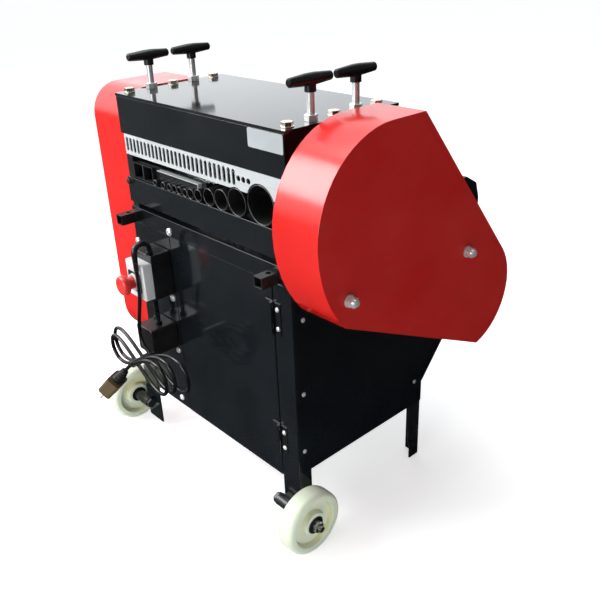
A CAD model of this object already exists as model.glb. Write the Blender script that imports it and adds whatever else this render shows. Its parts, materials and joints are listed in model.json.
"""Looks of a floor-standing cable stripping machine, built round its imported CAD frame.

Sizes are millimetres in the machine's own frame: X to the right, Y back from the front face, Z up
from the floor. `Place.row` turns them into the row frame in metres.
"""
import json
import logging
import math
from dataclasses import dataclass
from enum import Enum
from functools import cache
from typing import Callable, Iterable, Sequence

import bmesh
import bpy
from bmesh.types import BMesh, BMVert
from bpy.types import Material, Mesh, Node, NodeTree, Object
from mathutils import Matrix, Vector

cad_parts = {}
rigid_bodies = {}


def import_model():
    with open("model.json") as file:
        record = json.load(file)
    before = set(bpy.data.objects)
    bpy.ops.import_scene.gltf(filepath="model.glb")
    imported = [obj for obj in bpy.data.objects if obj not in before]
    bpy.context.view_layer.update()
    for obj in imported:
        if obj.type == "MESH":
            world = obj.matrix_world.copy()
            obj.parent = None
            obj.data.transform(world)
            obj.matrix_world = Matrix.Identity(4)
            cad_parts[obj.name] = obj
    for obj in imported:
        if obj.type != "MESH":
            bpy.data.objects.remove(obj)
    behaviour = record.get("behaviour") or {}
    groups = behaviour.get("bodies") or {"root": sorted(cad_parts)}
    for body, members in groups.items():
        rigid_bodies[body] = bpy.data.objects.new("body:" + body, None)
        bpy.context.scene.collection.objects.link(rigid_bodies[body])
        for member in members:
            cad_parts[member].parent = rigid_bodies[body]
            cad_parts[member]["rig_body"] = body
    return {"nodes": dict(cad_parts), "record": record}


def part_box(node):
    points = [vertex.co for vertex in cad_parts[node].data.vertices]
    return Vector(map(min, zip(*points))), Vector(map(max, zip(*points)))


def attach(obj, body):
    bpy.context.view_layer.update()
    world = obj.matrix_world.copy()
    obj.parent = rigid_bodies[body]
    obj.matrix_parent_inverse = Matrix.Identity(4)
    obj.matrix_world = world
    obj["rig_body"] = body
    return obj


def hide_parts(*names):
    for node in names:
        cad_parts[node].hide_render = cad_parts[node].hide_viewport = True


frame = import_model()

log = logging.getLogger("stripper")

MM = 0.001
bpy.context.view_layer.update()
FRONT_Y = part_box("apron_plate")[0].y
MIX_FIRST, MIX_SECOND, MIX_RESULT = 6, 7, 2

Colour = tuple[float, float, float]
Point = tuple[float, float, float]
Flat = tuple[float, float]


class Body(str, Enum):
    """CAD bodies that the scene's own pieces ride on."""

    FRAME = "frame"
    WHEEL_LEFT = "wheel_left"
    WHEEL_RIGHT = "wheel_right"


class Axis(Enum):
    """Direction in which a turned or extruded piece points."""

    X = (1.0, 0.0, 0.0)
    MINUS_X = (-1.0, 0.0, 0.0)
    Y = (0.0, 1.0, 0.0)
    MINUS_Y = (0.0, -1.0, 0.0)
    Z = (0.0, 0.0, 1.0)


class Place:
    """Turns machine millimetres into the row frame."""

    @staticmethod
    def row(x: float, y: float, z: float) -> Vector:
        """Point in the row frame, in metres."""
        return Vector((x * MM, y * MM + FRONT_Y, z * MM))

    @staticmethod
    def machine(point: Vector) -> Vector:
        """Row metres back to machine millimetres."""
        return Vector((point.x / MM, (point.y - FRONT_Y) / MM, point.z / MM))


def box_mm(node: str) -> tuple[Vector, Vector]:
    """Lowest and highest corner of a CAD node, in machine millimetres."""
    low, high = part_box(node)
    return Place.machine(low), Place.machine(high)


class Tree:
    """Short calls for building one node tree."""

    def __init__(self, tree: NodeTree) -> None:
        """Keeps the tree that nodes are added to."""
        self.tree = tree

    def add(self, kind: str, **values: object) -> Node:
        """Adds a node.

        Args:
            kind: Blender's shader node type, without its first two words.
            values: properties of the node, or input values by socket name.

        Returns:
            The new node.
        """
        node = self.tree.nodes.new("ShaderNode" + kind)
        for name, value in values.items():
            if hasattr(node, name):
                setattr(node, name, value)
            else:
                node.inputs[name.replace("_", " ")].default_value = value
        return node

    def join(self, *joins: tuple[Node, str | int, Node, str | int]) -> None:
        """Joins nodes, each join given as a node, its output, a second node and its input."""
        for source, output, target, entry in joins:
            self.tree.links.new(source.outputs[output], target.inputs[entry])


class Groups:
    """Shader node groups that the finishes share, each built once."""

    @staticmethod
    def _new(name: str, inputs: dict[str, float],
             outputs: Sequence[str]) -> tuple[Tree, Node, Node]:
        """Starts a group with named float sockets.

        Args:
            name: name of the group.
            inputs: inputs and their default values.
            outputs: names of the outputs.

        Returns:
            The tree, the node of its inputs and the node of its outputs.
        """
        tree = bpy.data.node_groups.new(name, "ShaderNodeTree")
        for key, value in inputs.items():
            socket = tree.interface.new_socket(key, in_out="INPUT", socket_type="NodeSocketFloat")
            socket.default_value = value
        for key in outputs:
            tree.interface.new_socket(key, in_out="OUTPUT", socket_type="NodeSocketFloat")
        return Tree(tree), tree.nodes.new("NodeGroupInput"), tree.nodes.new("NodeGroupOutput")

    @staticmethod
    @cache
    def grain() -> NodeTree:
        """Fine even grain: a height for bump and a mask for roughness.

        Returns:
            The group.
        """
        tree, given, out = Groups._new("Grain", {"Scale": 300.0, "Detail": 3.0}, ("Height", "Mask"))
        place = tree.add("TexCoord")
        noise = tree.add("TexNoise")
        wide = tree.add("TexNoise", Scale=9.0, Detail=4.0)
        tree.join((place, "Object", noise, "Vector"), (place, "Object", wide, "Vector"),
                  (given, "Scale", noise, "Scale"), (given, "Detail", noise, "Detail"),
                  (noise, "Fac", out, "Height"), (wide, "Fac", out, "Mask"))
        return tree.tree

    @staticmethod
    @cache
    def brushed() -> NodeTree:
        """Long brush marks along X: a height and a mask.

        Returns:
            The group.
        """
        tree, given, out = Groups._new("Brushed", {"Across": 900.0, "Along": 12.0}, ("Height", "Mask"))
        place = tree.add("TexCoord")
        stretch = tree.add("CombineXYZ")
        scaled = tree.add("VectorMath", operation="MULTIPLY")
        noise = tree.add("TexNoise", Scale=1.0, Detail=2.0)
        tree.join((given, "Along", stretch, "X"), (given, "Across", stretch, "Y"),
                  (given, "Across", stretch, "Z"), (place, "Object", scaled, 0),
                  (stretch, "Vector", scaled, 1), (scaled, "Vector", noise, "Vector"),
                  (noise, "Fac", out, "Height"), (noise, "Fac", out, "Mask"))
        return tree.tree

    @staticmethod
    @cache
    def dust() -> NodeTree:
        """Soft cloudy film that gathers on faces turned upwards.

        Returns:
            The group.
        """
        tree, given, out = Groups._new("Dust", {"Scale": 14.0, "Amount": 0.3}, ("Mask",))
        place = tree.add("TexCoord")
        noise = tree.add("TexNoise", Detail=6.0, Roughness=0.6)
        ramp = tree.add("MapRange", From_Min=0.42, From_Max=0.75)
        normal = tree.add("NewGeometry")
        split = tree.add("SeparateXYZ")
        up = tree.add("MapRange", From_Min=-0.2, To_Min=0.35)
        both = tree.add("Math", operation="MULTIPLY")
        share = tree.add("Math", operation="MULTIPLY")
        tree.join((place, "Object", noise, "Vector"), (given, "Scale", noise, "Scale"),
                  (noise, "Fac", ramp, "Value"), (normal, "Normal", split, "Vector"),
                  (split, "Z", up, "Value"), (ramp, "Result", both, 0), (up, "Result", both, 1),
                  (both, "Value", share, 0), (given, "Amount", share, 1), (share, "Value", out, "Mask"))
        return tree.tree


class Texture(Enum):
    """Small relief of a finish."""

    GRAIN = "grain"
    BRUSHED = "brushed"


@dataclass(frozen=True)
class Finish:
    """A surface finish: colour, gloss, small relief and a film of dust.

    Fields from `relief` on are the strength and scale of the relief, the spread of roughness,
    the amount and colour of dust, and the values set straight on the shader.
    """

    name: str
    colour: Colour
    second: Colour
    roughness: float
    metallic: float = 0.0
    texture: Texture = Texture.GRAIN
    relief: float = 0.05
    relief_depth: float = 0.0002
    scale: float = 400.0
    spread: float = 0.08
    dust: float = 0.1
    dust_colour: Colour = (0.35, 0.35, 0.34)
    coat: float = 0.0
    coat_roughness: float = 0.05
    specular: float = 0.5
    dust_dulls: float = 0.35
    subsurface: float = 0.0

    @cache
    def material(self) -> Material:
        """The Blender material, made on first use.

        Returns:
            The material of this finish.
        """
        made = bpy.data.materials.new(f"finish_{self.name}")
        made.use_nodes = True
        made.diffuse_color = (*self.colour, 1.0)
        tree = Tree(made.node_tree)
        shader = made.node_tree.nodes["Principled BSDF"]
        self._set_shader(shader)
        if self.texture is Texture.BRUSHED:
            relief = tree.add("Group", node_tree=Groups.brushed())
        else:
            relief = tree.add("Group", node_tree=Groups.grain(), Scale=self.scale)
        film = tree.add("Group", node_tree=Groups.dust(), Amount=self.dust)
        patches = tree.add("MapRange", From_Min=0.35, From_Max=0.65)
        tone = tree.add("Mix", data_type="RGBA")
        tone.inputs[MIX_FIRST].default_value = (*self.colour, 1.0)
        tone.inputs[MIX_SECOND].default_value = (*self.second, 1.0)
        dusty = tree.add("Mix", data_type="RGBA")
        dusty.inputs[MIX_SECOND].default_value = (*self.dust_colour, 1.0)
        gloss = tree.add("MapRange", From_Min=0.3, From_Max=0.7,
                         To_Min=max(0.0, self.roughness - self.spread), To_Max=self.roughness + self.spread)
        dull = tree.add("Math", operation="MULTIPLY_ADD")
        dull.inputs[1].default_value = self.dust_dulls
        bump = tree.add("Bump", Strength=self.relief, Distance=self.relief_depth)
        tree.join((relief, "Mask", patches, "Value"), (patches, "Result", tone, "Factor"),
                  (film, "Mask", dusty, "Factor"), (tone, MIX_RESULT, dusty, MIX_FIRST),
                  (dusty, MIX_RESULT, shader, "Base Color"), (relief, "Mask", gloss, "Value"),
                  (film, "Mask", dull, 0), (gloss, "Result", dull, 2), (dull, "Value", shader, "Roughness"),
                  (relief, "Height", bump, "Height"), (bump, "Normal", shader, "Normal"))
        return made

    def _set_shader(self, shader: Node) -> None:
        """Sets what is the same all over the surface on the shader's own sockets.

        Args:
            shader: Principled shader of the material.
        """
        shader.inputs["Metallic"].default_value = self.metallic
        shader.inputs["Coat Weight"].default_value = self.coat
        shader.inputs["Coat Roughness"].default_value = self.coat_roughness
        shader.inputs["Specular IOR Level"].default_value = self.specular
        shader.inputs["Subsurface Weight"].default_value = self.subsurface
        shader.inputs["Subsurface Radius"].default_value = (0.004, 0.003, 0.002)


class Finishes:
    """Finishes of this machine."""

    PANEL_BLACK = Finish("panel_black", (0.0040, 0.0056, 0.0074), (0.0068, 0.0086, 0.0106), 0.13,
                         relief=0.035, scale=160.0, spread=0.04, dust=0.022, dust_colour=(0.18, 0.24, 0.28),
                         coat=0.2, coat_roughness=0.06)
    TOP_BLACK = Finish("top_black", (0.007, 0.008, 0.009), (0.010, 0.011, 0.012), 0.10, relief=0.03,
                       scale=130.0, spread=0.04, dust=0.04, coat=0.2, coat_roughness=0.05)
    FRAME_BLACK = Finish("frame_black", (0.008, 0.009, 0.010), (0.014, 0.015, 0.016), 0.26, relief=0.05,
                         scale=220.0, spread=0.07, dust=0.05)
    GUARD_RED = Finish("guard_red", (0.61, 0.011, 0.008), (0.67, 0.014, 0.010), 0.22, relief=0.03,
                       scale=150.0, spread=0.05, dust=0.02, coat=0.2, coat_roughness=0.16)
    ZINC = Finish("bright_zinc", (0.84, 0.85, 0.86), (0.93, 0.93, 0.92), 0.30, metallic=0.6, relief=0.12,
                  scale=500.0, spread=0.09, dust=0.03)
    YELLOW_ZINC = Finish("yellow_zinc", (0.70, 0.64, 0.54), (0.84, 0.78, 0.68), 0.26, metallic=1.0,
                         relief=0.12, scale=500.0, spread=0.09, dust=0.05)
    DARK_STEEL = Finish("dark_steel", (0.05, 0.05, 0.052), (0.10, 0.10, 0.10), 0.35, metallic=0.8, relief=0.1,
                        spread=0.1, dust=0.08)
    PALE_STEEL = Finish("pale_steel", (0.46, 0.485, 0.49), (0.56, 0.585, 0.59), 0.34, metallic=0.1,
                        texture=Texture.BRUSHED, relief=0.08, spread=0.07, dust=0.03)
    MACHINED = Finish("machined_steel", (0.42, 0.43, 0.44), (0.58, 0.58, 0.58), 0.30, metallic=1.0,
                      texture=Texture.BRUSHED, relief=0.12, spread=0.1, dust=0.06)
    BLADE = Finish("ground_blade", (0.62, 0.63, 0.64), (0.74, 0.75, 0.75), 0.22, metallic=1.0,
                   texture=Texture.BRUSHED, relief=0.08, spread=0.06, dust=0.02)
    TUBE_BLACK = Finish("tube_black", (0.014, 0.014, 0.015), (0.03, 0.03, 0.03), 0.28, metallic=0.3,
                        relief=0.08, spread=0.08, dust=0.06)
    TUBE_RIM = Finish("tube_rim", (0.17, 0.175, 0.18), (0.28, 0.285, 0.29), 0.34, metallic=1.0, relief=0.1,
                      spread=0.08, dust=0.02)
    BRONZE = Finish("bush_bronze", (0.52, 0.33, 0.13), (0.62, 0.42, 0.18), 0.35, metallic=1.0, dust=0.05)
    CAST_IRON = Finish("cast_iron", (0.10, 0.105, 0.11), (0.17, 0.17, 0.175), 0.55, metallic=0.6, relief=0.4,
                       relief_depth=0.0006, scale=260.0, dust=0.1)
    MOTOR_GREY = Finish("motor_grey", (0.16, 0.21, 0.24), (0.21, 0.26, 0.29), 0.40, relief=0.35,
                        relief_depth=0.0005, scale=180.0, dust=0.12)
    BELT = Finish("belt_rubber", (0.014, 0.014, 0.015), (0.03, 0.03, 0.03), 0.72, relief=0.4,
                  relief_depth=0.0004, scale=700.0, dust=0.15)
    NYLON = Finish("cast_nylon", (0.59, 0.65, 0.51), (0.64, 0.70, 0.57), 0.38, relief=0.10, scale=240.0,
                   spread=0.08, dust=0.04, dust_colour=(0.50, 0.46, 0.32), subsurface=0.25)
    NYLON_WEB = Finish("moulded_web", (0.64, 0.63, 0.38), (0.70, 0.69, 0.46), 0.42, relief=0.12, scale=240.0,
                       spread=0.08, dust=0.06, dust_colour=(0.50, 0.44, 0.26), subsurface=0.25)
    WHITE_PLASTIC = Finish("white_moulding", (0.60, 0.61, 0.61), (0.66, 0.67, 0.67), 0.32, relief=0.08,
                           dust=0.05)
    RED_PLASTIC = Finish("stop_red", (0.62, 0.02, 0.018), (0.70, 0.03, 0.025), 0.26, relief=0.05, dust=0.03,
                         coat=0.3)
    BLACK_PLASTIC = Finish("black_moulding", (0.007, 0.007, 0.008), (0.011, 0.011, 0.012), 0.28, relief=0.12,
                           scale=600.0, dust=0.06)
    CORD = Finish("cord_sheath", (0.003, 0.003, 0.004), (0.006, 0.006, 0.008), 0.20, relief=0.06, scale=350.0,
                  dust=0.05)
    PLUG_BROWN = Finish("plug_brown", (0.075, 0.054, 0.024), (0.115, 0.083, 0.040), 0.42, relief=0.15,
                        scale=420.0, dust=0.08)
    LABEL = Finish("bare_plate", (0.34, 0.365, 0.38), (0.385, 0.41, 0.425), 0.42, relief=0.04, dust=0.02,
                   specular=0.3)


def circle(radius: float, steps: int, start: float = 0.0) -> list[Flat]:
    """Corners round a circle.

    Args:
        radius: radius of the circle.
        steps: number of corners.
        start: angle of the first corner, in radians.

    Returns:
        The corners, in order.
    """
    angles = [math.tau * k / steps + start for k in range(steps)]
    return [(radius * math.cos(angle), radius * math.sin(angle)) for angle in angles]


def rounded(low: Flat, high: Flat, corner: float,
            steps: int = 6) -> list[Flat]:
    """Outline of a rectangle with round corners.

    Args:
        low: lowest corner of the rectangle.
        high: highest corner of the rectangle.
        corner: radius of the corners.
        steps: facets of one corner.

    Returns:
        The outline's corners, in order.
    """
    (u0, v0), (u1, v1) = low, high
    points = []
    for u, v, begin in ((u1 - corner, v1 - corner, 0.0), (u0 + corner, v1 - corner, 90.0),
                        (u0 + corner, v0 + corner, 180.0), (u1 - corner, v0 + corner, 270.0)):
        for k in range(steps + 1):
            angle = math.radians(begin + 90.0 * k / steps)
            points.append((u + corner * math.cos(angle), v + corner * math.sin(angle)))
    return points


class Shape:
    """Collects the faces of one piece, in machine millimetres, and turns them into an object."""

    def __init__(self) -> None:
        """Starts with no faces."""
        self.bm = bmesh.new()

    @staticmethod
    def seat(base: Sequence[float], axis: Axis) -> Matrix:
        """Turns Z to an axis and moves the origin to a base."""
        turn = Vector((0, 0, 1)).rotation_difference(Vector(axis.value)).to_matrix().to_4x4()
        return Matrix.Translation(Vector(base)) @ turn

    def ring(self, points: Iterable[Sequence[float]]) -> list[BMVert]:
        """Adds the corners of one ring."""
        return [self.bm.verts.new(point) for point in points]

    def loft(self, rings: Sequence[list[BMVert]], close: bool = False) -> None:
        """Joins rings of corners in order.

        Args:
            rings: rings with the same number of corners, apart from single points.
            close: joins the last ring to the first.
        """
        for low, high in zip(rings, [*rings[1:], *(rings[:1] if close else [])]):
            steps = max(len(low), len(high))
            for k in range(steps):
                following = (k + 1) % steps
                if len(low) == 1:
                    corners = (low[0], high[k], high[following])
                elif len(high) == 1:
                    corners = (low[k], low[following], high[0])
                else:
                    corners = (low[k], low[following], high[following], high[k])
                self.bm.faces.new(corners)

    def lathe(self, profile: Sequence[Flat], base: Sequence[float], axis: Axis, steps: int = 48,
              close: bool = False) -> None:
        """Turns a profile about an axis.

        Args:
            profile: radius and distance along the axis, from the first ring to the last.
            base: where the axis starts.
            axis: which way the distance runs.
            steps: facets round the axis.
            close: joins the last ring to the first, for a ring-shaped piece.
        """
        move = self.seat(base, axis)
        rings = []
        for radius, along in profile:
            corners = circle(radius, steps) if radius > 0.0 else [(0.0, 0.0)]
            rings.append(self.ring(move @ Vector((u, v, along)) for u, v in corners))
        self.loft(rings, close)

    def prism(self, outline: Sequence[Flat], base: Sequence[float], axis: Axis, length: float) -> None:
        """Extrudes a flat outline.

        Args:
            outline: corners across the axis, in order.
            base: where the outline's origin and lower end are.
            axis: direction of the length.
            length: how far it runs.
        """
        move = self.seat(base, axis)
        low, high = [self.ring(move @ Vector((u, v, along)) for u, v in outline) for along in (0.0, length)]
        self.bm.faces.new(low[::-1])
        self.bm.faces.new(high)
        self.loft([low, high])

    def block(self, low: Point, high: Point) -> None:
        """Adds a box between two corners."""
        corners = [(low[0], low[1]), (high[0], low[1]), (high[0], high[1]), (low[0], high[1])]
        self.prism(corners, (0.0, 0.0, low[2]), Axis.Z, high[2] - low[2])

    def frame(self, low: Point, high: Point, wall: float) -> None:
        """Adds a rectangular frame, open along Y.

        Args:
            low: lowest corner.
            high: highest corner.
            wall: thickness of its walls.
        """
        rings = []
        for inset, y in ((0.0, high[1]), (0.0, low[1]), (wall, low[1]), (wall, high[1])):
            x0, x1, z0, z1 = low[0] + inset, high[0] - inset, low[2] + inset, high[2] - inset
            rings.append(self.ring((x, y, z) for x, z in ((x0, z0), (x1, z0), (x1, z1), (x0, z1))))
        self.loft(rings, close=True)

    def relief_cap(self, base: Point, axis: Axis, radius: float, rise: Callable[[float, float], float],
                   rings: int = 12, steps: int = 40, foot: float = -0.6) -> None:
        """Round cap whose height follows a function, such as a screw head with its recess.

        Args:
            base: middle of the cap's seat.
            axis: outward direction.
            radius: outer radius.
            rise: height over the seat at a point of the cap, from its two flat distances.
            rings: circles from the middle to the rim.
            steps: facets round the cap.
            foot: height of the cap's lower edge.
        """
        move = self.seat(base, axis)
        rows = [self.ring([move @ Vector((0, 0, rise(0.0, 0.0)))])]
        for number in range(1, rings + 1):
            rows.append(self.ring(move @ Vector((u, v, rise(u, v)))
                                  for u, v in circle(radius * number / rings, steps)))
        rows.append(self.ring(move @ Vector((u, v, foot)) for u, v in circle(radius, steps)))
        self.loft(rows)

    def piece(self, name: str, finish: Finish, body: Body | str, slot: str, bevel: float = 0.0,
              angle: float = 38.0) -> Object:
        """Makes the object and lets it ride.

        Args:
            name: name of the piece.
            finish: its finish.
            body: CAD body that it moves with.
            slot: material slot of the record.
            bevel: width of rounded edges, 0 for none.
            angle: edges sharper than this stay sharp.

        Returns:
            The new object.
        """
        for vert in self.bm.verts:
            vert.co = Place.row(*vert.co)
        bmesh.ops.recalc_face_normals(self.bm, faces=self.bm.faces[:])
        if bevel > 0:
            Edges.round(self.bm, bevel * MM, angle)
        mesh = bpy.data.meshes.new(name)
        self.bm.to_mesh(mesh)
        self.bm.free()
        return Pieces.link(name, mesh, finish, body, slot, angle)


class Edges:
    """Rounding of edges."""

    @staticmethod
    def round(bm: BMesh, width: float, angle: float, segments: int = 2) -> None:
        """Rounds every edge sharper than an angle.

        Args:
            bm: mesh to change.
            width: width of the rounding, in metres.
            angle: least angle between two faces, in degrees.
            segments: steps across the rounding.
        """
        limit = math.radians(angle)
        sharp = [edge for edge in bm.edges
                 if len(edge.link_faces) == 2 and edge.calc_face_angle(0.0) > limit]
        bmesh.ops.bevel(bm, geom=sharp, offset=width, offset_type="OFFSET", segments=segments, profile=0.5,
                        affect="EDGES", clamp_overlap=True, material=-1)


class Pieces:
    """Links pieces to the scene and to the frame."""

    @staticmethod
    def link(name: str, mesh: Mesh, finish: Finish, body: Body | str, slot: str,
             angle: float) -> Object:
        """Puts a mesh into the scene as a piece.

        Args:
            name: name of the piece.
            mesh: its mesh, in the row frame.
            finish: its finish.
            body: CAD body that it moves with.
            slot: material slot of the record.
            angle: edges sharper than this stay sharp.

        Returns:
            The new object.
        """
        mesh.materials.clear()
        mesh.materials.append(finish.material())
        mesh.polygons.foreach_set("use_smooth", [True] * len(mesh.polygons))
        mesh.set_sharp_from_angle(angle=math.radians(angle))
        piece = bpy.data.objects.new(name, mesh)
        bpy.context.scene.collection.objects.link(piece)
        even = piece.modifiers.new("even_shading", "WEIGHTED_NORMAL")
        even.keep_sharp = True
        even.weight = 90
        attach(piece, body.value if isinstance(body, Body) else body)
        return piece

    @staticmethod
    def paint(piece: Object, finish: Finish, test: Callable[[Vector, Vector], bool]) -> None:
        """Gives some faces of a piece another finish.

        Args:
            piece: piece to change.
            finish: finish of the chosen faces.
            test: tells from a face's middle, in machine millimetres, and its normal whether it is chosen.
        """
        mesh = piece.data
        mesh.materials.append(finish.material())
        index = len(mesh.materials) - 1
        for polygon in mesh.polygons:
            if test(Place.machine(polygon.center), polygon.normal):
                polygon.material_index = index

    @staticmethod
    def dress(node: str, finish: Finish, slot: str, bevel: float = 0.7,
              angle: float = 38.0) -> Object:
        """Stands a copy of a CAD node with rounded edges in the node's place.

        Args:
            node: CAD node to dress.
            finish: its finish.
            slot: material slot of the record.
            bevel: width of the rounded edges in millimetres, 0 for none.
            angle: edges sharper than this are rounded.

        Returns:
            The dressed piece.
        """
        source = frame["nodes"][node]
        bm = bmesh.new()
        bm.from_mesh(source.data)
        bmesh.ops.remove_doubles(bm, verts=bm.verts[:], dist=2e-6)
        bmesh.ops.dissolve_limit(bm, angle_limit=math.radians(0.6), verts=bm.verts[:], edges=bm.edges[:])
        bmesh.ops.recalc_face_normals(bm, faces=bm.faces[:])
        if bevel > 0:
            Edges.round(bm, bevel * MM, angle)
        mesh = bpy.data.meshes.new(node + "_dressed")
        bm.to_mesh(mesh)
        bm.free()
        piece = Pieces.link(node + "_dressed", mesh, finish, source["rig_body"], slot, angle)
        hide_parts(node)
        log.info("%s dressed, %d faces", node, len(mesh.polygons))
        return piece


class Fasteners:
    """Small screws, bolts and washers."""

    @staticmethod
    def pan_screw(shape: Shape, at: Point, axis: Axis, radius: float = 4.2, twist: float = 0.3) -> None:
        """Domed head with a cross recess.

        Args:
            shape: piece that takes the faces.
            at: middle of the seat.
            axis: outward direction.
            radius: radius of the head.
            twist: turn of the recess, in radians.
        """
        def rise(u: float, v: float) -> float:
            """Height of the head.

            Args:
                u: first distance from the middle.
                v: second distance from the middle.

            Returns:
                The height over the seat.
            """
            share = (u * u + v * v) / (radius * radius)
            height = radius * 0.62 * math.sqrt(max(0.0, 1.0 - 0.93 * share))
            a = abs(u * math.cos(twist) + v * math.sin(twist))
            b = abs(v * math.cos(twist) - u * math.sin(twist))
            arm = radius * 0.13
            reach = radius * 0.55
            inside = (a < arm and b < reach) or (b < arm and a < reach)
            return height - (radius * 0.34 if inside else 0.0)

        shape.relief_cap(at, axis, radius, rise)

    @staticmethod
    def hex_bolt(shape: Shape, at: Point, axis: Axis, across: float = 13.0, height: float = 5.3,
                 washer: float = 0.0) -> None:
        """Hexagon head with a turned chamfer, on a washer if one is given.

        Args:
            shape: piece that takes the faces.
            at: middle of the seat.
            axis: outward direction.
            across: width across the flats.
            height: height of the head.
            washer: radius of the washer, 0 for none.
        """
        seat, out = Vector(at), Vector(axis.value)
        if washer > 0:
            thick, edge = 1.6, 0.3
            shape.lathe([(0.0, 0.0), (washer, 0.0), (washer, thick - edge), (washer - edge, thick),
                         (0.0, thick)], seat, axis, 40)
            seat = seat + out * thick
        crown = height - 1.0
        shape.prism(circle(across / math.sqrt(3.0), 6, 0.2), seat, axis, crown)
        shape.lathe([(across * 0.5, 0.0), (across * 0.49, 0.5), (across * 0.42, 1.0), (0.0, 1.0)],
                    seat + out * crown, axis, 36)


@dataclass(frozen=True)
class Viewpoint:
    """Camera of the photograph, in machine millimetres."""

    position: Point = (1030.0, -680.8, 1010.7)
    forward: Point = (-0.67147, 0.59280, -0.44465)
    roll: float = -2.389
    lens: float = 43.84

    def build(self) -> Object:
        """Makes the camera and gives it to the scene.

        Returns:
            The camera object.
        """
        ahead = Vector(self.forward).normalized()
        level = ahead.cross(Vector((0, 0, 1))).normalized()
        above = level.cross(ahead)
        turn = math.radians(self.roll)
        right = level * math.cos(turn) + above * math.sin(turn)
        up = above * math.cos(turn) - level * math.sin(turn)
        data = bpy.data.cameras.new("photo_view")
        data.lens = self.lens
        data.sensor_width = 36.0
        data.clip_end = 50.0
        camera = bpy.data.objects.new("photo_view", data)
        basis = Matrix((right, up, -ahead)).transposed().to_4x4()
        camera.matrix_world = Matrix.Translation(Place.row(*self.position)) @ basis
        bpy.context.scene.collection.objects.link(camera)
        bpy.context.scene.camera = camera
        return camera


@dataclass(frozen=True)
class SoftLight:
    """One studio area light, placed and aimed in machine millimetres."""

    name: str
    position: Point
    target: Point
    width: float
    height: float
    watts: float
    colour: Colour = (1.0, 1.0, 1.0)
    spread: float = 180.0

    def build(self) -> Object:
        """Makes the light.

        Returns:
            The light object.
        """
        data = bpy.data.lights.new(self.name, "AREA")
        data.shape = "RECTANGLE"
        data.size = self.width * MM
        data.size_y = self.height * MM
        data.energy = self.watts
        data.color = self.colour
        data.spread = math.radians(self.spread)
        lamp = bpy.data.objects.new(self.name, data)
        start = Place.row(*self.position)
        aim = Place.row(*self.target) - start
        lamp.matrix_world = Matrix.Translation(start) @ aim.to_track_quat("-Z", "Y").to_matrix().to_4x4()
        bpy.context.scene.collection.objects.link(lamp)
        return lamp


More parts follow.
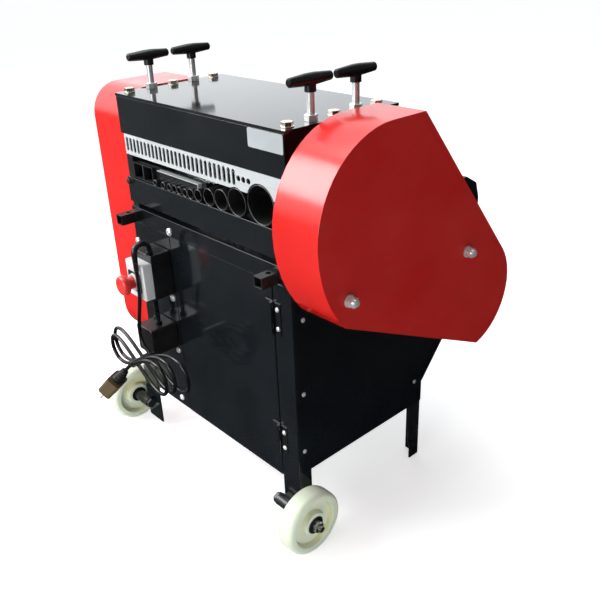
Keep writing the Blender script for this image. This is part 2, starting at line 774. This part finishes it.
@dataclass
class Studio:
    """Pale floor, soft lights and a studio surround that is bright on the left."""

    lights: tuple[SoftLight, ...] = (
        SoftLight("key_left", (-1500.0, -1500.0, 2100.0), (0.0, 60.0, 450.0), 1500.0, 1500.0, 66.0),
        SoftLight("overhead", (-300.0, 200.0, 2700.0), (0.0, 100.0, 700.0), 1800.0, 1800.0, 30.0),
        SoftLight("front_fill", (200.0, -2600.0, 900.0), (0.0, 0.0, 400.0), 1600.0, 1000.0, 30.0),
        SoftLight("wheel_kick", (1100.0, -500.0, 250.0), (262.0, -12.0, 62.0), 300.0, 300.0, 0.14,
                  spread=24.0),
        SoftLight("far_wheel_kick", (500.0, -1100.0, 200.0), (-262.0, -12.0, 62.0), 300.0, 300.0, 0.14,
                  spread=14.0),
    )
    floor_size: float = 30.0
    floor_level: float = 0.0
    floor_tone: float = 0.9
    floor_glow: float = 0.55

    def build(self) -> None:
        """Makes the floor, the lights and the surround."""
        bpy.context.scene.view_settings.view_transform = "Standard"
        for light in self.lights:
            light.build()
        self._floor()
        self._surround()

    def _floor(self) -> None:
        """Large pale floor that takes soft shadows."""
        half = self.floor_size / 2
        mesh = bpy.data.meshes.new("studio_floor")
        corners = [(x, y, self.floor_level)
                   for x, y in ((-half, -half), (half, -half), (half, half), (-half, half))]
        mesh.from_pydata(corners, [], [(0, 1, 2, 3)])
        mesh.materials.append(self._floor_material())
        floor = bpy.data.objects.new("studio_floor", mesh)
        bpy.context.scene.collection.objects.link(floor)
        floor.visible_glossy = False

    def _floor_material(self) -> Material:
        """Matt white paper that takes soft shadows and glows a little in the picture.

        Returns:
            The material.
        """
        made = bpy.data.materials.new("studio_paper")
        made.use_nodes = True
        tree = Tree(made.node_tree)
        shader = made.node_tree.nodes["Principled BSDF"]
        shader.inputs["Base Color"].default_value = (self.floor_tone, self.floor_tone, self.floor_tone, 1.0)
        shader.inputs["Roughness"].default_value = 0.9
        shader.inputs["Specular IOR Level"].default_value = 0.0
        shader.inputs["Emission Color"].default_value = (1.0, 1.0, 1.0, 1.0)
        ray = tree.add("LightPath")
        glow = tree.add("Math", operation="MULTIPLY")
        glow.inputs[1].default_value = self.floor_glow
        tree.join((ray, "Is Camera Ray", glow, 0), (glow, "Value", shader, "Emission Strength"))
        return made

    @staticmethod
    def _surround() -> None:
        """Studio surround: white behind the object, and bright on the left for gloss and fill."""
        world = bpy.data.worlds.new("studio")
        world.use_nodes = True
        bpy.context.scene.world = world
        world.node_tree.nodes.clear()
        tree = Tree(world.node_tree)
        out = tree.add("OutputWorld")
        place = tree.add("TexCoord")
        split = tree.add("SeparateXYZ")
        side = tree.add("MapRange", interpolation_type="SMOOTHSTEP", From_Min=-0.95, From_Max=0.1,
                        To_Min=1.75, To_Max=0.12)
        below = tree.add("MapRange", From_Min=-0.55, From_Max=-0.05, To_Min=0.04, To_Max=0.13)
        above = tree.add("MapRange", interpolation_type="SMOOTHSTEP", From_Min=-0.1, From_Max=0.12,
                         To_Max=0.85)
        height = tree.add("Math", operation="ADD")
        level = tree.add("Math", operation="MULTIPLY")
        soft = tree.add("Background", Color=(0.93, 0.97, 1.0, 1.0))
        white = tree.add("Background", Color=(1.0, 1.0, 1.0, 1.0))
        ray = tree.add("LightPath")
        pick = tree.add("MixShader")
        tree.join((place, "Generated", split, "Vector"), (split, "X", side, "Value"),
                  (split, "Z", below, "Value"), (split, "Z", above, "Value"), (below, "Result", height, 0),
                  (above, "Result", height, 1), (side, "Result", level, 0), (height, "Value", level, 1),
                  (level, "Value", soft, "Strength"),
                  (ray, "Is Camera Ray", pick, 0), (soft, 0, pick, 1), (white, 0, pick, 2),
                  (pick, 0, out, "Surface"))


@dataclass
class SupplyCord:
    """Mains lead from the gland, down to a tied figure-of-eight hank, with its plug."""

    route: tuple[Point, ...] = (
        (-126.0, -70.0, 455.0), (-126.0, -70.0, 446.0), (-126.0, -70.0, 433.0), (-126.5, -70.0, 419.0),
        (-128.5, -70.0, 404.0), (-132.0, -70.0, 389.0), (-136.5, -70.0, 373.0), (-141.5, -70.0, 357.0),
        (-146.0, -70.0, 341.0), (-149.2, -70.0, 325.0), (-150.4, -70.0, 310.8), (-149.0, -70.0, 300.9),
        (-144.9, -70.0, 291.7), (-139.0, -70.0, 284.5))
    waist: Point = (-118.0, -70.0, 272.0)
    sweeps: tuple[float, ...] = (136.0, -118.0, 116.0, -100.0, 112.0)
    rise: float = 36.0
    share: float = 0.3
    step: float = 8.4
    plug_way: Point = (-0.6, -0.3, -0.74)
    tail_steps: int = 8
    tail_step: float = 3.2
    diameter: float = 7.5
    loop_points: int = 48
    tie_width: float = 4.6
    tie_thick: float = 1.3
    tie_slack: float = 1.2
    tie_corner: float = 5.0
    sleeve_end: float = 32.0
    pins_from: float = 73.5

    def loop_point(self, loop: int, angle: float) -> Vector:
        """Point of one loop of the hank.

        Args:
            loop: number of the loop, from 0.
            angle: place along the loop, from -90 to 90 degrees.

        Returns:
            The point, in machine millimetres.
        """
        turn = math.radians(angle)
        return Vector(self.waist) + Vector((
            self.sweeps[loop] * math.cos(turn),
            -self.step * (loop + (angle + 90.0) / 180.0),
            self._lift(loop) * math.sin(2.0 * turn)))

    def _lift(self, loop: int) -> float:
        """Half the height of a loop."""
        return min(self.rise, self.share * abs(self.sweeps[loop]))

    def _pass_way(self, loop: int, sign: float) -> Vector:
        """Direction in which the cord passes the waist, into a loop or out of it."""
        return Vector((sign * self.sweeps[loop], -self.step / math.pi, -2.0 * self._lift(loop))).normalized()

    def centreline(self) -> list[Vector]:
        """The whole cord's middle line.

        Returns:
            Points from the gland to the plug, in machine millimetres.
        """
        last = len(self.sweeps) - 1
        enter = self._pass_way(0, 1.0)
        leave = self._pass_way(last, -1.0)
        begin = Vector(self.waist) - self.diameter * enter
        supply = [Vector(point) for point in self.route]
        supply += [begin - self.diameter * enter, begin]
        points = self.smooth(supply, 5)
        for loop in range(len(self.sweeps)):
            for k in range(self.loop_points):
                points.append(self.loop_point(loop, -90.0 + 180.0 * k / self.loop_points))
        end = self.loop_point(last, 90.0)
        points.append(end)
        way = Vector(self.plug_way).normalized()
        for j in range(1, self.tail_steps + 1):
            share = j / self.tail_steps
            end = end + self.tail_step * (leave * (1.0 - share) + way * share).normalized()
            points.append(end)
        points.append(end + self.diameter * way)
        return points

    @staticmethod
    def smooth(points: Sequence[Vector], between: int) -> list[Vector]:
        """Smooth line through points.

        Args:
            points: points to pass.
            between: pieces that each span is cut into.

        Returns:
            The finer line.
        """
        line: list[Vector] = []
        count = len(points)
        for i in range(count - 1):
            before = points[max(i - 1, 0)]
            start, stop = points[i], points[i + 1]
            after = points[min(i + 2, count - 1)]
            for k in range(between):
                t = k / between
                line.append(0.5 * (2.0 * start + (stop - before) * t
                                   + (2.0 * before - 5.0 * start + 4.0 * stop - after) * t * t
                                   + (3.0 * start - before - 3.0 * stop + after) * t ** 3))
        line.append(points[-1].copy())
        return line

    def build(self) -> None:
        line = [Place.row(*point) for point in self.centreline()]
        data = bpy.data.curves.new("supply_lead", "CURVE")
        data.dimensions = "3D"
        data.bevel_depth = self.diameter * MM / 2
        data.bevel_resolution = 5
        data.use_fill_caps = True
        spline = data.splines.new("POLY")
        spline.points.add(len(line) - 1)
        for place, point in zip(spline.points, line):
            place.co = (*point, 1.0)
        spline.use_smooth = True
        data.materials.append(Finishes.CORD.material())
        lead = bpy.data.objects.new("supply_lead", data)
        bpy.context.scene.collection.objects.link(lead)
        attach(lead, Body.FRAME.value)
        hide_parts("supply_cord", "cord_hank")
        plug = Pieces.dress("plug", Finishes.PLUG_BROWN, "plug_brown", 1.2)
        self._dress_plug(plug)
        tie = self._tie()

    def _dress_plug(self, plug: Object) -> None:
        """Gives the plug's sleeve black rubber and its pins bright metal.

        Args:
            plug: the dressed plug.
        """
        way = Vector(self.plug_way).normalized()
        start = self.centreline()[-1]
        Pieces.paint(plug, Finishes.BLACK_PLASTIC, lambda at, normal: (at - start).dot(way) < self.sleeve_end)
        Pieces.paint(plug, Finishes.ZINC, lambda at, normal: (at - start).dot(way) > self.pins_from)

    def _tie(self) -> Object:
        """Band round the hank's waist.

        Returns:
            The tie.
        """
        shape = Shape()
        x, y, z = self.waist
        near = y + self.diameter * 0.5 + self.tie_slack
        far = y - self.step * len(self.sweeps) - self.diameter * 0.5 - self.tie_slack
        half = self.diameter * 0.5 + 2.2
        wall, corner = self.tie_thick, self.tie_corner
        outer = rounded((far, -half - wall), (near, half + wall), corner)
        inner = rounded((far + wall, -half), (near - wall, half), corner - wall)
        x0, x1 = x - self.tie_width / 2, x + self.tie_width / 2
        rows = [shape.ring((side, depth, z + rise) for depth, rise in loop)
                for side, loop in ((x0, outer), (x1, outer), (x1, inner), (x0, inner))]
        shape.loft(rows, close=True)
        shape.block((x0 - 1.2, near - 1.5, z + 1.0), (x1 + 1.2, near + 3.0, z + 7.0))
        return shape.piece("hank_tie", Finishes.BLACK_PLASTIC, Body.FRAME, "black_plastic", bevel=0.4)


SLOT_OF = {part["node"]: part["material_slot"] for part in frame["record"]["subparts"]}


@dataclass(frozen=True)
class Coat:
    """One CAD node, its finish and how much its edges are rounded, in millimetres."""

    node: str
    finish: Finish
    bevel: float
    angle: float

    @classmethod
    def each(cls, finish: Finish, angle: float = 38.0, **bevels: float) -> list["Coat"]:
        """Coats of one finish.

        Args:
            finish: finish of the nodes.
            angle: edges sharper than this are rounded, in degrees.
            bevels: width of the rounded edges of each node.

        Returns:
            One coat for each node.
        """
        return [cls(node, finish, bevel, angle) for node, bevel in bevels.items()]

    def build(self) -> Object:
        """Dresses the node."""
        return Pieces.dress(self.node, self.finish, SLOT_OF[self.node], self.bevel, self.angle)


@dataclass
class Assembly:
    """Sub-assembly: its dressed CAD nodes and its own small details."""

    coats: tuple[Coat, ...] = ()

    def build(self) -> None:
        """Dresses the nodes, then adds the details."""
        for coat in self.coats:
            coat.build()
        self.details()

    def details(self) -> None:
        """Adds pieces that only this sub-assembly has."""


@dataclass
class Cabinet(Assembly):
    """Frame, panels, door and hinges."""

    coats: tuple[Coat, ...] = (
        *Coat.each(Finishes.PANEL_BLACK, front_posts=1.2, upper_frame=0.9, left_side_panel=0.5,
                   right_side_panel=0.5, rear_cover=0.6, fixed_panel=0.8, front_door=0.8, hinge_leaves=0.3),
        *Coat.each(Finishes.FRAME_BLACK, rear_legs=0.9, base_deck=0.6),
    )
    front_screws: tuple[tuple[float, float, float], ...] = (
        (-107.0, 519.0, 8.0), (-232.0, 468.0, 7.5), (-215.0, 452.0, 6.5), (-124.0, 375.0, 8.0),
        (-127.0, 252.0, 6.5), (-138.0, 130.0, 6.5), (-226.0, 527.0, 4.6), (226.0, 527.0, 4.6))
    apron_bolts: tuple[Flat, ...] = ((-227.0, 596.0), (227.0, 596.0))
    hinge_screws: tuple[Flat, ...] = ((203.0, 463.0), (203.0, 427.0), (203.0, 215.0), (203.0, 182.0))
    side_screws: tuple[Flat, ...] = ((21.0, 449.0), (16.0, 306.0), (13.0, 186.0), (317.0, 193.0))
    leaf: float = 1.5
    side: float = 240.0

    def details(self) -> None:
        """Adds the bright screws of the panels, hinges and sides."""
        shape = Shape()
        for k, (x, z, radius) in enumerate(self.front_screws):
            Fasteners.pan_screw(shape, (x, 0.0, z), Axis.MINUS_Y, radius, 0.5 * k)
        for k, (x, z) in enumerate(self.hinge_screws):
            Fasteners.pan_screw(shape, (x, -self.leaf, z), Axis.MINUS_Y, 4.4, 0.7 * k)
        for k, (y, z) in enumerate(self.side_screws):
            Fasteners.pan_screw(shape, (self.side, y, z), Axis.X, 4.2, 0.9 * k)
            Fasteners.pan_screw(shape, (-self.side, y, z), Axis.MINUS_X, 4.2, 0.4 * k)
        shape.piece("panel_screws", Finishes.ZINC, Body.FRAME, "zinc")
        bolts = Shape()
        for x, z in self.apron_bolts:
            Fasteners.hex_bolt(bolts, (x, 0.0, z), Axis.MINUS_Y, 11.0, 5.0, 9.0)
        bolts.piece("apron_bolts", Finishes.DARK_STEEL, Body.FRAME, "zinc")


@dataclass
class Head(Assembly):
    """Bearing plates, top plate, covers, apron and rest sockets."""

    coats: tuple[Coat, ...] = (
        *Coat.each(Finishes.FRAME_BLACK, bearing_plates=0.8, rest_sockets=0.6, outlet_plate=0.6,
                   feed_plate=0.5),
        *Coat.each(Finishes.PANEL_BLACK, front_cover=0.6, apron_plate=0.9),
        *Coat.each(Finishes.TOP_BLACK, top_plate=1.0),
        *Coat.each(Finishes.PALE_STEEL, slotted_plate=0.5),
    )
    label_low: Flat = (154.0, 727.0)
    label_high: Flat = (236.0, 757.0)
    label_corner: float = 3.0
    windows: tuple[Flat, ...] = ((-209.5, -178.75), (-176.25, -145.5))
    window_low: float = 607.0
    window_high: float = 635.0
    window_wall: float = 1.2
    guide_front: float = 1.5
    tuck: float = 0.2
    strip_ends: Flat = (-127.0, 3.0)
    strip_low: float = 627.0
    strip_top: float = 635.0
    strip_thick: float = 1.4

    def details(self) -> None:
        """Adds the window guides and the bent strip of the feed plate, and the bare plate on the cover."""
        plate_front = box_mm("feed_plate")[0].y
        guides = Shape()
        for x0, x1 in self.windows:
            wall = self.window_wall
            guides.frame((x0 - wall, self.guide_front, self.window_low - wall),
                         (x1 + wall, plate_front + self.tuck, self.window_high + wall), wall)
        piece = guides.piece("window_guides", Finishes.FRAME_BLACK, Body.FRAME, SLOT_OF["feed_plate"])
        front = self.guide_front + 0.1
        Pieces.paint(piece, Finishes.TUBE_RIM, lambda at, normal: at.y < front)
        self._strip(plate_front)
        self._label()

    def _strip(self, plate_front: float) -> None:
        """Adds the bright strip over the small tubes, bent down at its right end.

        Args:
            plate_front: where the front of the feed plate is along Y.
        """
        (x0, x1), top, t = self.strip_ends, self.strip_top, self.strip_thick
        outline = [(x0, top - t), (x1 - t, top - t), (x1 - t, self.strip_low), (x1, self.strip_low),
                   (x1, top), (x0, top)]
        shape = Shape()
        shape.prism([(x, -z) for x, z in outline], (0.0, self.guide_front, 0.0), Axis.Y,
                    plate_front + self.tuck - self.guide_front)
        shape.piece("feed_strip", Finishes.PALE_STEEL, Body.FRAME, SLOT_OF["slotted_plate"], bevel=0.2)

    def _label(self) -> None:
        """Adds the bare plate on the front cover."""
        shape = Shape()
        face = box_mm("front_cover")[0].y
        outline = rounded(self.label_low, self.label_high, self.label_corner)
        low, high = [shape.ring((x, y, z) for x, z in outline) for y in (face + 0.3, face - 0.5)]
        shape.bm.faces.new(high)
        shape.loft([low, high])
        shape.piece("bare_plate", Finishes.LABEL, Body.FRAME, "pale_steel", bevel=0.15)


@dataclass
class Cutting(Assembly):
    """Feed tubes, grooved roller, blades, their bearings and gears."""

    coats: tuple[Coat, ...] = (
        *Coat.each(Finishes.MACHINED, feed_roller=0.3, cutter_shaft=0.4, bearing_blocks=0.8, roller_gear=0.3,
                   cutter_gear=0.3),
        *Coat.each(Finishes.BLADE, cutter_blades=0.15),
        *Coat.each(Finishes.BRONZE, roller_bushes=0.4),
    )
    tubes: tuple[Flat, ...] = (
        (175.0, 66.0), (113.0, 48.0), (69.0, 37.0), (34.0, 31.0), (2.0, 22.5), (-21.0, 19.0), (-39.0, 15.5),
        (-57.0, 15.5), (-73.0, 15.5), (-90.0, 14.0), (-110.0, 13.0), (-137.0, 12.0))
    wall: float = 1.5
    rim: float = 0.35

    def details(self) -> None:
        """Turns the feed tubes, dark with bright rims, in place of their CAD node."""
        low, high = box_mm("feed_tubes")
        shape = Shape()
        bottom = low.z
        for x, across in self.tubes:
            outer = across / 2.0
            inner = outer - self.wall
            z = bottom + outer
            c = self.rim
            shape.lathe([(inner + c, low.y), (outer - c, low.y), (outer, low.y + c), (outer, high.y - c),
                         (outer - c, high.y), (inner + c, high.y), (inner, high.y - c), (inner, low.y + c)],
                        (x, 0.0, z), Axis.Y, 64, close=True)
        piece = shape.piece("feed_tube_row", Finishes.TUBE_BLACK, Body.FRAME, SLOT_OF["feed_tubes"],
                            angle=50.0)
        ends = (low.y + self.rim * 1.2, high.y - self.rim * 1.2)
        Pieces.paint(piece, Finishes.TUBE_RIM, lambda at, normal: at.y < ends[0] or at.y > ends[1])
        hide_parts("feed_tubes")


@dataclass
class Drive(Assembly):
    """Pulleys, belts, jack shaft and motor."""

    coats: tuple[Coat, ...] = (
        *Coat.each(Finishes.CAST_IRON, drive_pulley=0.5, jack_pulleys=0.5, jack_bearings=0.9,
                   motor_pulley=0.5),
        *Coat.each(Finishes.BELT, drive_belts=0.5, primary_belt=0.5),
        *Coat.each(Finishes.MACHINED, jack_shaft=0.5),
        *Coat.each(Finishes.MOTOR_GREY, motor_body=0.8),
    )


@dataclass
class Screws(Assembly):
    """Four T-handled lifting screws and the bolts of the top plate."""

    coats: tuple[Coat, ...] = (
        *Coat.each(Finishes.ZINC, t_screw_fl=0.3, t_screw_fr=0.3, t_screw_rl=0.3, t_screw_rr=0.3,
                   lock_nuts=0.6),
        *Coat.each(Finishes.BLACK_PLASTIC, t_handle_fl=0.9, t_handle_fr=0.9, t_handle_rl=0.9,
                   t_handle_rr=0.9),
        *Coat.each(Finishes.YELLOW_ZINC, top_bolts=0.6),
    )


@dataclass
class Guards(Assembly):
    """Red covers over the gears and the belts."""

    coats: tuple[Coat, ...] = (
        *Coat.each(Finishes.GUARD_RED, 30.0, right_guard=1.2, left_guard=1.2),
        *Coat.each(Finishes.ZINC, guard_nuts=0.5),
    )


@dataclass
class Wheels(Assembly):
    """Two front wheels and their axles."""

    hub: float = 25.0
    rim: float = 45.0
    seal_inner: float = 8.0
    seal_outer: float = 17.5
    seal_proud: float = 0.25

    def details(self) -> None:
        """Adds the wheels, the axles, black up to the wheels, and the dark bearing seals in the hubs."""
        for node in ("left_wheel", "right_wheel"):
            self._wheel(node)
        axles = Pieces.dress("wheel_axles", Finishes.MACHINED, SLOT_OF["wheel_axles"], 0.5)
        right, left = box_mm("right_wheel"), box_mm("left_wheel")
        Pieces.paint(axles, Finishes.FRAME_BLACK, lambda at, normal: left[1].x < at.x < right[0].x)
        self._seal("right_seal", right[1].x, right, Axis.X, Body.WHEEL_RIGHT)
        self._seal("left_seal", left[0].x, left, Axis.MINUS_X, Body.WHEEL_LEFT)
        self._seal("left_inner_seal", left[1].x, left, Axis.X, Body.WHEEL_LEFT)

    def _wheel(self, node: str) -> None:
        """Dresses one wheel, a little yellower in its recesses.

        Args:
            node: CAD node of the wheel.
        """
        wheel = Pieces.dress(node, Finishes.NYLON, SLOT_OF[node], 0.9)
        low, high = box_mm(node)
        middle = (low + high) / 2
        Pieces.paint(wheel, Finishes.NYLON_WEB,
                     lambda at, normal: self.hub < math.hypot(at.y - middle.y, at.z - middle.z) < self.rim
                     and low.x + 1.0 < at.x < high.x - 1.0)

    def _seal(self, name: str, face: float, wheel: tuple[Vector, Vector], axis: Axis, body: Body) -> None:
        """Adds one bearing seal.

        Args:
            name: name of the piece.
            face: where the hub's face is along X.
            wheel: corners of the wheel's box.
            axis: outward direction of the face.
            body: wheel that the seal turns with.
        """
        shape = Shape()
        middle = (wheel[0] + wheel[1]) / 2
        a, b, top = self.seal_inner, self.seal_outer, self.seal_proud
        shape.lathe([(a, -0.6), (b, -0.6), (b, top - 0.1), (b - 0.6, top), (b - 2.4, top),
                     (b - 2.8, top - 0.15), (a + 1.6, top - 0.15), (a + 1.2, top), (a, top)],
                    (face, middle.y, middle.z), axis, 56, close=True)
        shape.piece(name, Finishes.BLACK_PLASTIC, body, "black_plastic", angle=50.0)


@dataclass
class Switchgear(Assembly):
    """Starter, stop switch, junction box and their links."""

    coats: tuple[Coat, ...] = (
        *Coat.each(Finishes.BLACK_PLASTIC, starter_box=2.5, junction_box=2.5, cord_gland=0.4),
        *Coat.each(Finishes.WHITE_PLASTIC, estop_box=1.5),
        *Coat.each(Finishes.RED_PLASTIC, estop_button=1.2),
        *Coat.each(Finishes.CORD, link_cables=0.3),
    )
    button_in: Flat = (29.0, 34.0)
    collar: float = 6.0
    bezel_hole: float = 17.6
    bezel_half: float = 20.0
    bezel_thick: float = 2.4
    bezel_steps: int = 64

    def details(self) -> None:
        """Adds the square black bezel behind the stop button."""
        low = box_mm("estop_box")[0]
        face = low.y + self.collar
        x, z = low.x + self.button_in[0], low.z + self.button_in[1]
        shape = Shape()
        hole = circle(1.0, self.bezel_steps)
        rings = []
        for square, y in ((False, face + 0.3), (True, face + 0.3), (True, face - self.bezel_thick),
                          (False, face - self.bezel_thick)):
            reach = [self.bezel_half / max(abs(u), abs(v)) if square else self.bezel_hole for u, v in hole]
            rings.append(shape.ring((x + r * u, y, z + r * v) for r, (u, v) in zip(reach, hole)))
        shape.loft(rings, close=True)
        shape.piece("stop_bezel", Finishes.BLACK_PLASTIC, Body.FRAME, "black_plastic", bevel=0.5)


def main() -> None:
    """Builds the view, the cord, the machine and the studio."""
    logging.basicConfig(level=logging.INFO, format="%(name)s: %(message)s")
    Viewpoint().build()
    SupplyCord().build()
    for assembly in (Cabinet(), Head(), Cutting(), Drive(), Screws(), Guards(), Wheels(), Switchgear()):
        assembly.build()
        log.info("%s built", type(assembly).__name__)
    Studio().build()


if __name__ == "__main__":
    main()
